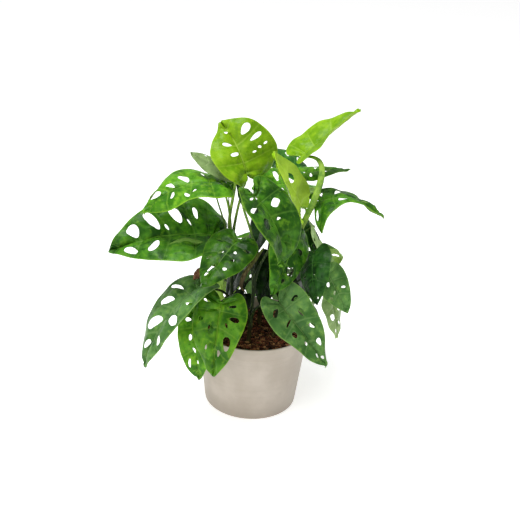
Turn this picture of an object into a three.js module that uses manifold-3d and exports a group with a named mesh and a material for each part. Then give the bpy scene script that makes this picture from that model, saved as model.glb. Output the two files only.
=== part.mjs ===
// A swiss-cheese monstera, the small-leaved climbing kind, in a plastic nursery pot.
// Millimetres, +Z up. The origin is the middle of the pot's underside and the pot's axis is Z.
// The fullest side of the plant faces -Y.
import * as THREE from 'three';
import { mergeVertices } from 'three/addons/utils/BufferGeometryUtils.js';
import Module from 'manifold-3d';

const wasm = await Module();
wasm.setup();

// ---- driving dimensions, mm ----
const POT_HEIGHT = 90;
const POT_TOP_RADIUS = 60;
const POT_BASE_RADIUS = 49;
const POT_WALL = 1.4;
const POT_FLOOR = 2;
const FOOT_ROUND = 1.5;          // round under the foot, outside and in
const LIP_ROUND = 0.4;           // round on the rim
const BAND_HEIGHT = 15;          // the collar round the pot's mouth
const BAND_STEP = 1;             // how far the collar stands out
const DRAIN_HOLES = 8;
const DRAIN_RADIUS = 4;
const DRAIN_CIRCLE = 36;
const POT_SIDES = 40;

const SOIL_LEVEL = 79;
const SOIL_BUMP = 1.2;           // height of the mounds on the soil
const SOIL_SIDES = 28;
const PLANTING_CLEARANCE = 0.9;  // between a stem and its hole in the soil
const GAP = 0.3;                 // clearance between touching pieces

const BLADE = 0.8;               // leaf blade thickness
const STALK_RADIUS = 1.1;        // leaf stalk
const STEM_RADIUS = 2.2;         // main stem of a cutting
const STALK_SETBACK = 1.6;       // how far under the notch a stalk ends

const UP = new THREE.Vector3(0, 0, 1);
const rad = THREE.MathUtils.degToRad;

// ---- colours ----
const TONES = {
  lime: '#8fc01e',
  bright: '#5fa32a',
  mid: '#3f8428',
  deep: '#2a6328',
  grey: '#5f8a5a',
  pale: '#8fae7c',
};
const STALK_GREEN = '#6d9a3c';
const POT_TAUPE = '#bdb3a8';
const COIR_BROWN = '#4a2f26';

// ---- the cuttings: where each stem runs, from the foot in the soil to its growing end ----
const STEMS = {
  left: [[-22, -6, 57], [-22, -6, 86], [-25, -4, 135], [-27, 2, 185]],
  front: [[-4, -22, 57], [-4, -22, 86], [-2, -16, 130], [0, -6, 175]],
  right: [[22, -6, 57], [22, -6, 86], [28, -2, 130], [32, 6, 180]],
  back: [[6, 18, 57], [6, 18, 86], [10, 22, 140], [16, 24, 200]],
  rear: [[-14, 26, 57], [-14, 26, 86], [-14, 34, 115], [-12, 40, 145]],
};

// ---- the leaves ----
// base: where blade meets stalk. tip: the blade's point. width: across the widest part, laid flat.
// turn rolls the blade about the line from base to tip (0 faces the sky). Angles are in degrees:
// left and right fold each half up, droop bends the midrib over, twist turns the tip.
// cup is how far the margins curl down, as a share of the half width.
// holes marks which strips between side veins are open, from base to tip: left half / right half.
// from is the height on its stem where the leaf's stalk leaves; via bends a stalk round its
// neighbours through two control points of its own.
const LEAVES = [
  { name: 'leaf_top', tone: 'lime', stem: 'left', from: 175, base: [-15, 4, 253], tip: [-43, 26, 299],
    width: 80, turn: -5, left: 25, right: 10, droop: 40, cup: 0.05, twist: 60, holes: '.oo../.ooo.' },
  { name: 'leaf_top_left', tone: 'pale', stem: 'left', from: 180, base: [-31, -6, 259], tip: [-70, -6, 277],
    width: 32, turn: 140, left: 15, right: 15, droop: 30, cup: 0.1, twist: -5, holes: '.o../.o..',
    via: [[-37, -6, 215], [-17, -8, 251]] },
  { name: 'leaf_left_upper', tone: 'bright', stem: 'left', from: 165, base: [-41, -10, 247],
    tip: [-111, -32, 219], width: 66, turn: 5, left: 5, right: 10, droop: 70, cup: 0.2, twist: 25,
    holes: '.ooo./.ooo.' },
  { name: 'leaf_left_long', tone: 'mid', stem: 'left', from: 150, base: [-43, -3, 189],
    tip: [-147, -34, 178], width: 86, turn: -8, left: 8, right: 20, droop: 35, cup: 0.05, twist: 35,
    holes: '.oooo./.oooo.' },
  { name: 'leaf_low_left', tone: 'grey', stem: 'left', from: 110, base: [-56, -42, 149],
    tip: [-104, -72, 71], width: 66, turn: 0, left: 20, right: 0, droop: 60, cup: 0.05, twist: 10,
    holes: '.oooo./.ooo..' },
  { name: 'leaf_pot_left', tone: 'bright', stem: 'left', from: 98, base: [-53, -36, 116],
    tip: [-52, -56, 49], width: 48, turn: 35, left: 12, right: 14, droop: 40, cup: 0.15, twist: 15,
    holes: '.ooo./.ooo.' },
  { name: 'leaf_left_fold', tone: 'mid', stem: 'left', from: 160, base: [-43, 18, 242], tip: [-27, 17, 229],
    width: 22, turn: 50, left: 10, right: 10, droop: 20, cup: 0.05, twist: 0, holes: '.../...' },
  { name: 'leaf_sliver', tone: 'deep', stem: 'left', from: 170, base: [-22, -2, 245],
    tip: [-18, -5, 223], width: 12, turn: -20, left: 3, right: 3, droop: 20, cup: 0.15, twist: -10,
    holes: '.../...' },

  { name: 'leaf_front', tone: 'mid', stem: 'front', from: 160, base: [-6, -58, 255], tip: [22, -69, 188],
    width: 72, turn: 0, left: 14, right: 14, droop: 65, cup: 0, twist: -15, holes: '.ooo./.ooo.' },
  { name: 'leaf_front_left', tone: 'mid', stem: 'front', from: 140, base: [-20, -46, 204],
    tip: [-50, -92, 173], width: 50, turn: -10, left: 0, right: 5, droop: 20, cup: 0.18, twist: -10,
    holes: '.ooo./.ooo.' },
  { name: 'leaf_front_under', tone: 'mid', stem: 'front', from: 145, base: [35, -25, 206],
    tip: [15, -66, 157], width: 50, turn: -60, left: 0, right: 2, droop: 40, cup: 0.12, twist: -5,
    holes: '.ooo./.ooo.' },
  { name: 'leaf_pot_front', tone: 'bright', stem: 'front', from: 100, base: [-32, -62, 144],
    tip: [-36, -84, 72], width: 57, turn: 10, left: 6, right: 8, droop: 30, cup: 0.15, twist: -10,
    holes: '.oooo./.oooo.' },
  { name: 'leaf_pot_right', tone: 'grey', stem: 'front', from: 104, base: [24, -58, 145],
    tip: [72, -93, 95], width: 54, turn: 15, left: 40, right: 10, droop: 15, cup: 0.1, twist: 10,
    holes: '.oooo./.oooo.' },

  { name: 'leaf_right', tone: 'deep', stem: 'right', from: 130, base: [56, -21, 183], tip: [62, -53, 142],
    width: 42, turn: 44, left: 6, right: -24, droop: 50, cup: 0.1, twist: 15, holes: '.ooo./.ooo.' },
  { name: 'leaf_right_shade', tone: 'deep', stem: 'right', from: 155, base: [48, 29, 194],
    tip: [60, 7, 158], width: 31, turn: -35, left: 10, right: 10, droop: 40, cup: 0.14, twist: -5,
    holes: '.o../.o..' },
  { name: 'leaf_right_pale', tone: 'pale', stem: 'right', from: 165, base: [56, 14, 195],
    tip: [87, 10, 152], width: 34, turn: 170, left: 8, right: 8, droop: 30, cup: 0.12, twist: -20,
    holes: '.oo./.oo.' },
  { name: 'leaf_right_low', tone: 'grey', stem: 'right', from: 115, base: [72, -12, 158],
    tip: [96, -22, 118], width: 36, turn: 40, left: 5, right: 5, droop: 15, cup: 0.15, twist: 5,
    holes: '.oo./.oo.' },
  { name: 'leaf_right_lowest', tone: 'pale', stem: 'right', from: 100, base: [79, 2, 123], tip: [89, -2, 76],
    width: 34, turn: 10, left: 3, right: 3, droop: 20, cup: 0.15, twist: 0, holes: '.oo./.oo.' },
  { name: 'leaf_right_inner', tone: 'grey', stem: 'right', from: 104, base: [48, -22, 131],
    tip: [72, -36, 99], width: 32, turn: -10, left: 3, right: 3, droop: 20, cup: 0.15, twist: 0,
    holes: '.../...' },
  { name: 'leaf_wing', tone: 'mid', stem: 'right', from: 170, base: [58, -8, 234], tip: [122, -20, 223],
    width: 60, turn: 0, left: 15, right: -25, droop: 80, cup: 0.22, twist: 50, holes: '.ooo./.ooo.' },

  { name: 'leaf_spear', tone: 'lime', stem: 'right', from: 170, base: [40, 6, 275], tip: [94, 28, 319],
    width: 53, turn: 0, left: 22, right: 23, droop: 0, cup: 0.02, twist: 15, holes: '.../...',
    via: [[50, -30, 236], [76, -22, 290]] },
  { name: 'leaf_right_point', tone: 'bright', stem: 'right', from: 176, base: [45, 32, 249],
    tip: [91, 37, 252], width: 32, turn: 10, left: 0, right: 2, droop: 15, cup: 0.13, twist: 20,
    holes: '.o../.o..' },
  { name: 'leaf_back_top', tone: 'deep', stem: 'back', from: 196, base: [42, 73, 239], tip: [-1, 77, 253],
    width: 44, turn: -12, left: -3, right: 0, droop: 20, cup: 0.2, twist: 20, holes: '.oo./.oo.' },
  { name: 'leaf_young', tone: 'lime', stem: 'right', from: 172, base: [41, -6, 226], tip: [9, -18, 285],
    width: 52, turn: 145, left: 0, right: 0, droop: -10, cup: 0.15, twist: -5, holes: '.o../.o..' },
  { name: 'leaf_inner', tone: 'bright', stem: 'back', from: 188, base: [27, 42, 231], tip: [-9, 2, 239],
    width: 40, turn: -40, left: 8, right: 5, droop: 30, cup: 0.14, twist: 5, holes: '.oo./.oo.' },

  { name: 'leaf_heart_high', tone: 'deep', stem: 'back', from: 165, base: [9, 15, 208], tip: [-5, 7, 162],
    width: 40, turn: 0, left: 8, right: 8, droop: 20, cup: 0.08, twist: 0, holes: '.oo./.oo.' },
  { name: 'leaf_heart_left', tone: 'deep', stem: 'rear', from: 120, base: [-9, 16, 157], tip: [-30, 7, 109],
    width: 44, turn: 5, left: 8, right: 8, droop: 20, cup: 0.08, twist: 0, holes: '.oo./.oo.' },
  { name: 'leaf_heart_middle', tone: 'deep', stem: 'back', from: 120, base: [15, 9, 160], tip: [8, 0, 107],
    width: 38, turn: 0, left: 8, right: 8, droop: 20, cup: 0.08, twist: 0, holes: '.oo./.oo.' },
  { name: 'leaf_heart_right', tone: 'deep', stem: 'back', from: 130, base: [40, 21, 158], tip: [54, 14, 108],
    width: 38, turn: -5, left: 8, right: 8, droop: 20, cup: 0.08, twist: 0, holes: '.oo./.oo.' },
  { name: 'leaf_heart_low_left', tone: 'deep', stem: 'rear', from: 98, base: [-12, 18, 112],
    tip: [-16, 13, 84], width: 26, turn: 0, left: 8, right: 8, droop: 20, cup: 0.08, twist: 0,
    holes: '.oo./.oo.' },
  { name: 'leaf_heart_low_right', tone: 'deep', stem: 'back', from: 96, base: [36, 39, 120],
    tip: [40, 30, 84], width: 34, turn: 0, left: 8, right: 8, droop: 20, cup: 0.08, twist: 0,
    holes: '.oo./.oo.' },

  { name: 'leaf_rear_top', tone: 'bright', stem: 'back', from: 192, base: [34, 64, 221], tip: [50, 116, 185],
    width: 50, turn: 0, left: 10, right: 12, droop: 40, cup: 0.1, twist: 5, holes: '.ooo./.ooo.' },
  { name: 'leaf_rear_upper', tone: 'mid', stem: 'back', from: 140, base: [24, 48, 182], tip: [30, 98, 128],
    width: 60, turn: 0, left: 12, right: 12, droop: 45, cup: 0.1, twist: 0, holes: '.ooo./.ooo.' },
  { name: 'leaf_rear_right', tone: 'bright', stem: 'back', from: 125, base: [54, 46, 164],
    tip: [88, 86, 116], width: 56, turn: 0, left: 12, right: 12, droop: 40, cup: 0.1, twist: 10,
    holes: '.ooo./.ooo.' },
  { name: 'leaf_rear_low_right', tone: 'grey', stem: 'back', from: 100, base: [42, 60, 122],
    tip: [58, 84, 56], width: 50, turn: 0, left: 10, right: 10, droop: 30, cup: 0.1, twist: 0,
    holes: '.ooo./.ooo.' },
  { name: 'leaf_rear_left', tone: 'mid', stem: 'rear', from: 135, base: [-26, 58, 158],
    tip: [-48, 100, 104], width: 54, turn: 0, left: 12, right: 12, droop: 40, cup: 0.1, twist: -10,
    holes: '.ooo./.ooo.' },
  { name: 'leaf_rear_middle', tone: 'deep', stem: 'rear', from: 110, base: [6, 64, 118], tip: [10, 84, 48],
    width: 52, turn: 0, left: 10, right: 10, droop: 30, cup: 0.1, twist: 5, holes: '.ooo./.ooo.' },
  { name: 'leaf_rear_low_left', tone: 'bright', stem: 'rear', from: 100, base: [-36, 58, 112],
    tip: [-40, 80, 48], width: 44, turn: 0, left: 10, right: 10, droop: 30, cup: 0.1, twist: 0,
    holes: '.oo./.oo.' },
];

// ---- joining and cutting ----
function solid(geometry) {
  const bare = geometry.clone();
  for (const name of ['normal', 'uv']) bare.deleteAttribute(name);
  const merged = mergeVertices(bare, 1e-3);
  const mesh = new wasm.Mesh({
    numProp: 3,
    vertProperties: new Float32Array(merged.attributes.position.array),
    triVerts: new Uint32Array(merged.index.array),
  });
  return new wasm.Manifold(mesh);
}

function toGeometry(manifold) {
  const mesh = manifold.getMesh();
  const geometry = new THREE.BufferGeometry();
  geometry.setAttribute('position', new THREE.BufferAttribute(mesh.vertProperties, 3));
  geometry.setIndex(new THREE.BufferAttribute(mesh.triVerts, 1));
  return geometry;
}

function piece(name, geometry, color, roughness) {
  geometry.computeVertexNormals();
  const material = new THREE.MeshStandardMaterial({ color, roughness, metalness: 0 });
  const mesh = new THREE.Mesh(geometry, material);
  mesh.name = name;
  return mesh;
}

// ---- the pot ----
const DRAFT = (POT_TOP_RADIUS - BAND_STEP - POT_BASE_RADIUS) / POT_HEIGHT;
const wallRadius = (z) => POT_BASE_RADIUS + DRAFT * z;

function potGeometry() {
  const bandFoot = POT_HEIGHT - BAND_HEIGHT;
  const inside = (z) => wallRadius(z) - POT_WALL;
  const profile = [
    [0, 0],
    [POT_BASE_RADIUS - FOOT_ROUND, 0],
    [POT_BASE_RADIUS, FOOT_ROUND],
    [wallRadius(bandFoot), bandFoot],
    [wallRadius(bandFoot) + BAND_STEP, bandFoot + LIP_ROUND],
    [POT_TOP_RADIUS, POT_HEIGHT - LIP_ROUND],
    [POT_TOP_RADIUS - 2 * LIP_ROUND, POT_HEIGHT],
    [inside(POT_HEIGHT), POT_HEIGHT - LIP_ROUND],
    [inside(POT_FLOOR + FOOT_ROUND), POT_FLOOR + FOOT_ROUND],
    [inside(POT_FLOOR) - FOOT_ROUND, POT_FLOOR],
    [0, POT_FLOOR],
  ];
  const lathe = new THREE.LatheGeometry(profile.map(([r, z]) => new THREE.Vector2(r, z)), POT_SIDES);
  lathe.rotateX(Math.PI / 2);
  let pot = solid(lathe);
  for (let i = 0; i < DRAIN_HOLES; i += 1) {
    const angle = (i / DRAIN_HOLES) * 2 * Math.PI;
    const drill = new THREE.CylinderGeometry(DRAIN_RADIUS, DRAIN_RADIUS, 3 * POT_FLOOR, 10);
    drill.rotateX(Math.PI / 2);
    drill.translate(DRAIN_CIRCLE * Math.cos(angle), DRAIN_CIRCLE * Math.sin(angle), POT_FLOOR / 2);
    pot = pot.subtract(solid(drill));
  }
  return toGeometry(pot);
}

// ---- the soil: fills the pot to just under the collar, with a planting hole for each stem ----
function soilGeometry() {
  const side = (z) => wallRadius(z) - POT_WALL - GAP;
  const bottom = POT_FLOOR + GAP;
  const corner = FOOT_ROUND + 0.5;
  const edge = side(SOIL_LEVEL);
  const profile = [
    [0, bottom],
    [side(bottom) - corner, bottom],
    [side(bottom + corner), bottom + corner],
    ...[1, 0.75, 0.5, 0.25, 0].map((share) => [edge * share, SOIL_LEVEL]),
  ];
  const outline = profile.map(([r, z]) => new THREE.Vector2(r, z));
  const lathe = new THREE.LatheGeometry(outline, SOIL_SIDES);
  lathe.rotateX(Math.PI / 2);
  const position = lathe.attributes.position;
  for (let i = 0; i < position.count; i += 1) {
    const [x, y, z] = [position.getX(i), position.getY(i), position.getZ(i)];
    const radius = Math.hypot(x, y);
    if (z > SOIL_LEVEL - 1 && radius < edge - 1) {
      const bump = Math.sin(x / 5.5) * Math.cos(y / 7) + 0.6 * Math.sin((x + y) / 4);
      position.setZ(i, z + SOIL_BUMP * bump);
    }
  }
  let soil = solid(lathe);
  for (const path of Object.values(STEMS)) {
    const [x, y, z] = path[0];
    const height = POT_HEIGHT - z;
    const radius = STEM_RADIUS + PLANTING_CLEARANCE;
    const hole = new THREE.CylinderGeometry(radius, radius, height, 10);
    hole.rotateX(Math.PI / 2);
    hole.translate(x, y, z - GAP + height / 2);
    soil = soil.subtract(solid(hole));
  }
  return toGeometry(soil);
}

// ---- a leaf blade ----
// Half of a blade laid flat, from the notch at the stalk to the point. Each entry gives how far out
// the margin lies (a share of the width), how far along (a share of the length), and where on the
// midrib the side vein to that place of the margin starts.
const MARGIN = new THREE.CatmullRomCurve3([
  [0, 0, 0], [0.1, -0.09, 0], [0.25, -0.15, 0.01], [0.4, -0.09, 0.03], [0.49, 0.08, 0.09],
  [0.49, 0.28, 0.2], [0.42, 0.5, 0.38], [0.29, 0.71, 0.58], [0.14, 0.88, 0.78],
  [0.045, 0.965, 0.92], [0, 1, 1],
].map((p) => new THREE.Vector3(...p)), false, 'catmullrom', 0.5);
const VEIN_BEND = 1.25;          // side veins leave the midrib squarely and bend towards the tip
const ACROSS = [0, 0.26, 0.66, 1];  // from midrib to margin; a hole takes the middle stretch
const HOLE_START = 0.28;         // a hole's share of its strip, from vein to vein
const HOLE_END = 0.74;

function flatPoint(leaf, along, across) {
  const margin = MARGIN.getPoint(along);
  const x = margin.x * leaf.width * across;
  const start = Math.max(margin.z, 0);
  const y = (start + (margin.y - start) * across ** VEIN_BEND) * leaf.length;
  return [x, y];
}

function bend(leaf, x, y) {
  const fold = rad(x < 0 ? leaf.left : leaf.right);
  const half = leaf.width / 2;
  const out = Math.abs(x);
  let side = x * Math.cos(fold);
  let lift = out * Math.sin(fold) - leaf.cup * half * (out / half) ** 2;
  const twist = (rad(leaf.twist) * y) / leaf.length;
  [side, lift] = [side * Math.cos(twist) - lift * Math.sin(twist),
    side * Math.sin(twist) + lift * Math.cos(twist)];
  const arc = rad(leaf.droop || 0.1);
  const radius = leaf.length / arc;
  const angle = y / radius;
  const local = [side, (radius + lift) * Math.sin(angle), (radius + lift) * Math.cos(angle) - radius];
  return toWorld(leaf, local, arc / 2);
}

function toWorld(leaf, [side, forward, lift], half) {
  const along = forward * Math.cos(half) - lift * Math.sin(half);
  const above = forward * Math.sin(half) + lift * Math.cos(half);
  return leaf.start.clone()
    .addScaledVector(leaf.across, side)
    .addScaledVector(leaf.chord, along)
    .addScaledVector(leaf.face, above);
}

// Adds to a leaf its frame: start, chord (base to tip), face (the way the upper side looks), across
// and the length along the midrib.
function frameLeaf(leaf) {
  const start = new THREE.Vector3(...leaf.base);
  const chord = new THREE.Vector3(...leaf.tip).sub(start);
  const reach = chord.length();
  chord.normalize();
  const up = UP.clone().addScaledVector(chord, -chord.z).normalize();
  const across = new THREE.Vector3().crossVectors(chord, up);
  const turn = rad(leaf.turn);
  const face = up.clone().multiplyScalar(Math.cos(turn)).addScaledVector(across, Math.sin(turn));
  across.multiplyScalar(Math.cos(turn)).addScaledVector(up, -Math.sin(turn));
  const half = rad(leaf.droop || 0.1) / 2;
  const length = (reach * half) / Math.sin(half);
  return { ...leaf, start, chord, face, across, length };
}

// The blade's middle surface: shared points and triangles, with the open strips left out.
function middleSurface(leaf) {
  const points = [];
  const index = new Map();
  const triangles = [];
  const vertex = (x, y) => {
    const key = `${Math.round(x * 5)},${Math.round(y * 5)}`;
    if (!index.has(key)) {
      index.set(key, points.length);
      points.push(bend(leaf, x, y));
    }
    return index.get(key);
  };
  const face = (...corners) => {
    if (new Set(corners).size === 3) triangles.push(corners);
  };
  leaf.holes.split('/').forEach((strips, half) => {
    const sign = half === 0 ? -1 : 1;
    const rows = [0];
    [...strips].forEach((_, k) => rows.push(k + HOLE_START, k + HOLE_END));
    rows.push(strips.length);
    const grid = rows.map((row) => ACROSS.map((across) => {
      const [x, y] = flatPoint(leaf, row / strips.length, across);
      return vertex(sign * x, y);
    }));
    for (let i = 0; i < rows.length - 1; i += 1) {
      for (let j = 0; j < ACROSS.length - 1; j += 1) {
        const open = i % 2 === 1 && j === 1 && strips[(i - 1) / 2] === 'o';
        if (!open) {
          const [a, b, c, d] = [grid[i][j], grid[i + 1][j], grid[i + 1][j + 1], grid[i][j + 1]];
          if (sign > 0) {
            face(a, d, c);
            face(a, c, b);
          } else {
            face(a, c, d);
            face(a, b, c);
          }
        }
      }
    }
  });
  return { points, triangles };
}

function pointNormals(points, triangles) {
  const normals = points.map(() => new THREE.Vector3());
  for (const [a, b, c] of triangles) {
    const normal = points[b].clone().sub(points[a]).cross(points[c].clone().sub(points[a]));
    for (const i of [a, b, c]) normals[i].add(normal);
  }
  return normals.map((normal) => normal.normalize());
}

// Upper and lower skins either side of the middle surface, closed along every open edge.
function bladeGeometry(leaf) {
  const { points, triangles } = middleSurface(leaf);
  const normals = pointNormals(points, triangles);
  const upper = points.map((p, i) => p.clone().addScaledVector(normals[i], BLADE / 2));
  const lower = points.map((p, i) => p.clone().addScaledVector(normals[i], -BLADE / 2));
  const count = points.length;
  const faces = triangles.flatMap(([a, b, c]) => [[a, b, c], [a + count, c + count, b + count]]);
  const edges = new Set(triangles.flatMap(([a, b, c]) => [`${a},${b}`, `${b},${c}`, `${c},${a}`]));
  for (const edge of edges) {
    const [a, b] = edge.split(',').map(Number);
    if (!edges.has(`${b},${a}`)) {
      faces.push([a, a + count, b + count], [a, b + count, b]);
    }
  }
  const geometry = new THREE.BufferGeometry().setFromPoints([...upper, ...lower]);
  geometry.setIndex(faces.flat());
  return geometry;
}

// ---- stems and leaf stalks ----
function tube(curve, radius, steps, sides) {
  const section = new THREE.Shape();
  for (let i = 0; i < sides; i += 1) {
    const angle = (i / sides) * 2 * Math.PI;
    const [x, y] = [radius * Math.cos(angle), radius * Math.sin(angle)];
    if (i === 0) section.moveTo(x, y);
    else section.lineTo(x, y);
  }
  section.closePath();
  return new THREE.ExtrudeGeometry(section, { steps, extrudePath: curve, bevelEnabled: false });
}

function stemCurve(name) {
  return new THREE.CatmullRomCurve3(STEMS[name].map((p) => new THREE.Vector3(...p)));
}

function heightOn(curve, z) {
  const points = curve.getPoints(60);
  return points.reduce((best, p) => (Math.abs(p.z - z) < Math.abs(best.z - z) ? p : best));
}

// A stalk leaves its stem upwards, arches out and comes up to the blade's notch from below.
function stalkCurve(leaf) {
  const root = heightOn(stemCurve(leaf.stem), leaf.from);
  const below = BLADE / 2 + GAP + STALK_RADIUS;
  const end = leaf.start.clone().addScaledVector(leaf.face, -below)
    .addScaledVector(leaf.chord, -STALK_SETBACK);
  const span = root.distanceTo(end);
  const arrive = leaf.face.clone().multiplyScalar(0.7).addScaledVector(leaf.chord, 0.45);
  arrive.addScaledVector(UP, 0.6 * Math.max(leaf.face.z, 0)).normalize();
  const leave = UP.clone().multiplyScalar(0.85).addScaledVector(end.clone().sub(root).normalize(), 0.35);
  const via = leaf.via
    ? leaf.via.map((p) => new THREE.Vector3(...p))
    : [root.clone().addScaledVector(leave, span * 0.4), end.clone().addScaledVector(arrive, -span * 0.25)];
  return new THREE.CubicBezierCurve3(root, ...via, end);
}

function vineGeometry(name, leaves) {
  let vine = solid(tube(stemCurve(name), STEM_RADIUS, 10, 8));
  for (const leaf of leaves) {
    vine = vine.add(solid(tube(stalkCurve(leaf), STALK_RADIUS, 9, 6)));
  }
  return toGeometry(vine);
}

// ---- the whole plant ----
const plant = new THREE.Group();
plant.add(piece('pot', potGeometry(), POT_TAUPE, 0.45));
plant.add(piece('soil', soilGeometry(), COIR_BROWN, 0.95));

const leaves = LEAVES.map(frameLeaf);
for (const name of Object.keys(STEMS)) {
  const carried = leaves.filter((leaf) => leaf.stem === name);
  plant.add(piece(`vine_${name}`, vineGeometry(name, carried), STALK_GREEN, 0.5));
}
for (const leaf of leaves) {
  plant.add(piece(leaf.name, bladeGeometry(leaf), TONES[leaf.tone], 0.4));
}

export default plant;
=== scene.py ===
import random
from math import cos, exp, pi, radians, sin, sqrt

import bmesh
import bpy
import numpy as np
from mathutils import Matrix, Vector, noise
from mathutils.geometry import delaunay_2d_cdt


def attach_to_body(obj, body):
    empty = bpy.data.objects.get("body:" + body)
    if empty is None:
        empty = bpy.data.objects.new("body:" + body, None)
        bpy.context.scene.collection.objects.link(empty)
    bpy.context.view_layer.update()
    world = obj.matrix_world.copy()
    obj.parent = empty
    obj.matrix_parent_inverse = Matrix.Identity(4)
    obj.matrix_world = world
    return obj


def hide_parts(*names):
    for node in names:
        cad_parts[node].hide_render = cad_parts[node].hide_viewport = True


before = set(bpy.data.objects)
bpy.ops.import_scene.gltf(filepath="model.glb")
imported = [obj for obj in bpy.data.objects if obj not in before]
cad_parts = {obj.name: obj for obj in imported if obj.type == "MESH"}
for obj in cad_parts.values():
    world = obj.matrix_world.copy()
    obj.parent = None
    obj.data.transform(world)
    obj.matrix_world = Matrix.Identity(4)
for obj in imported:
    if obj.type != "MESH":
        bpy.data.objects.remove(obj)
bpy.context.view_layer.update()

# ---- the camera ----
# A long lens that looks slightly down on the plant from the front, held a little out of level,
# so that the plant leans to the right.
LENS = 63.69
SENSOR_WIDTH = 36
FARTHEST = 50
CAMERA_PLACE = Vector((0, -0.8572, 0.560))
CAMERA_TURN = radians(0.208)
CAMERA_PITCH = radians(-24.864)
CAMERA_ROLL = radians(3.2)

lens = bpy.data.cameras.new("camera")
lens.lens = LENS
lens.sensor_width = SENSOR_WIDTH
lens.clip_end = FARTHEST
camera = bpy.data.objects.new("camera", lens)
bpy.context.scene.collection.objects.link(camera)
bpy.context.scene.camera = camera

ahead = Vector((sin(CAMERA_TURN) * cos(CAMERA_PITCH),
                cos(CAMERA_TURN) * cos(CAMERA_PITCH),
                sin(CAMERA_PITCH)))
level = Vector((cos(CAMERA_TURN), -sin(CAMERA_TURN), 0))
over = level.cross(ahead)
right = level * cos(CAMERA_ROLL) + over * sin(CAMERA_ROLL)
top = over * cos(CAMERA_ROLL) - level * sin(CAMERA_ROLL)
facing = Matrix((right, top, -ahead)).transposed().to_4x4()
camera.matrix_world = Matrix.Translation(CAMERA_PLACE) @ facing

# ---- the pot ----
# A thin-walled nursery pot, injection moulded in taupe polypropylene in one piece, with a deeper
# collar round the mouth to stiffen it and eight drain holes through the floor.
MM = 0.001
POT_HEIGHT = 90 * MM
POT_MOUTH_RADIUS = 60 * MM
POT_FOOT_RADIUS = 49 * MM
POT_WALL = 1.4 * MM
POT_FLOOR = 2 * MM
COLLAR_HEIGHT = 15 * MM
COLLAR_STEP = 1 * MM
FOOT_ROUND = 1.5 * MM
DRAIN_HOLES = 8
DRAIN_RADIUS = 4 * MM
DRAIN_CIRCLE = 36 * MM
DRAIN_SIDES = 24
POT_SIDES = 160
WALL_ROWS = 44
LIP_ROUND = 0.8 * MM
MOULD_RIPPLE = 0.02 * MM   # faint rings that the mould leaves
TAUPE = "#aba092"
TAUPE_DUSTY = "#bcb2a5"
TAUPE_SHADE = "#978b7c"
TAUPE_SCUFF = "#d4cbc0"


def colour(code):
    """A web colour as the linear red, green, blue and alpha that a shader takes."""
    parts = [int(code[i:i + 2], 16) / 255 for i in (1, 3, 5)]
    return (*[c / 12.92 if c < 0.04045 else ((c + 0.055) / 1.055) ** 2.4 for c in parts], 1)


def node(tree, kind, inputs=None, **settings):
    """A shader node with its settings, and with its inputs wired up or set."""
    made = tree.nodes.new("ShaderNode" + kind)
    for key, value in settings.items():
        setattr(made, key, value)
    for key, value in (inputs or {}).items():
        if isinstance(value, bpy.types.NodeSocket):
            tree.links.new(value, made.inputs[key])
        else:
            made.inputs[key].default_value = value
    return made


def sums(tree, operation, *terms, clamp=False):
    """The result of a sum on numbers or on other nodes' results."""
    inputs = dict(enumerate(terms))
    return node(tree, "Math", inputs, operation=operation, use_clamp=clamp).outputs[0]


def times(tree, first, second):
    """Two results multiplied."""
    return sums(tree, "MULTIPLY", first, second)


def plus(tree, first, second):
    """Two results added."""
    return sums(tree, "ADD", first, second)


def dye(tree, share, first, second):
    """Two colours, the second laid over the first by a share."""
    return node(tree, "Mix", {0: share, 6: first, 7: second}, data_type="RGBA").outputs[2]


def tint(tree, share, first, amount, second):
    """Like dye, with the share cut to an amount."""
    return dye(tree, times(tree, share, amount), first, second)


def stretched(tree, place, x, y, z):
    """The place on the piece with its axes scaled."""
    return node(tree, "Mapping", {0: place, "Scale": (x, y, z)}).outputs[0]


def spread(tree, value, low, high):
    """A soft step: 0 below low and 1 above high."""
    inputs = {"Value": value, "From Min": low, "From Max": high}
    made = node(tree, "MapRange", inputs, interpolation_type="SMOOTHSTEP")
    return made.outputs["Result"]


def cloud(tree, place, scale, detail=4.0, roughness=0.55):
    """Soft irregular patches, about 1/scale metres across."""
    inputs = {"Vector": place, "Scale": scale, "Detail": detail, "Roughness": roughness}
    return node(tree, "TexNoise", inputs).outputs[0]


def finish_of(name):
    """A new material: its tree, its main shader and the place on the piece in metres."""
    made = bpy.data.materials.new(name)
    made.use_nodes = True
    tree = made.node_tree
    return made, tree, tree.nodes["Principled BSDF"], node(tree, "TexCoord").outputs["Object"]


def dress(tree, shader, base, rough, height, depth):
    """Gives a shader its colour, roughness and small relief. depth is in metres."""
    bump = node(tree, "Bump", {"Height": height, "Distance": depth, "Strength": 1.0})
    tree.links.new(base, shader.inputs["Base Color"])
    tree.links.new(rough, shader.inputs["Roughness"])
    tree.links.new(bump.outputs[0], shader.inputs["Normal"])


def mesh_piece(name, points, faces, material, crease=40):
    """A smooth-shaded object with its sharp edges kept."""
    mesh = bpy.data.meshes.new(name)
    mesh.from_pydata([tuple(p) for p in points], [], faces)
    mesh.polygons.foreach_set("use_smooth", [True] * len(mesh.polygons))
    mesh.set_sharp_from_angle(angle=radians(crease))
    mesh.materials.append(material)
    made = bpy.data.objects.new(name, mesh)
    bpy.context.scene.collection.objects.link(made)
    return made


def mark(piece, name, values, kind="FLOAT", part="value"):
    """A value at each of a piece's points, for its finish to read."""
    piece.data.attributes.new(name, kind, "POINT").data.foreach_set(part, values)


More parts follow.
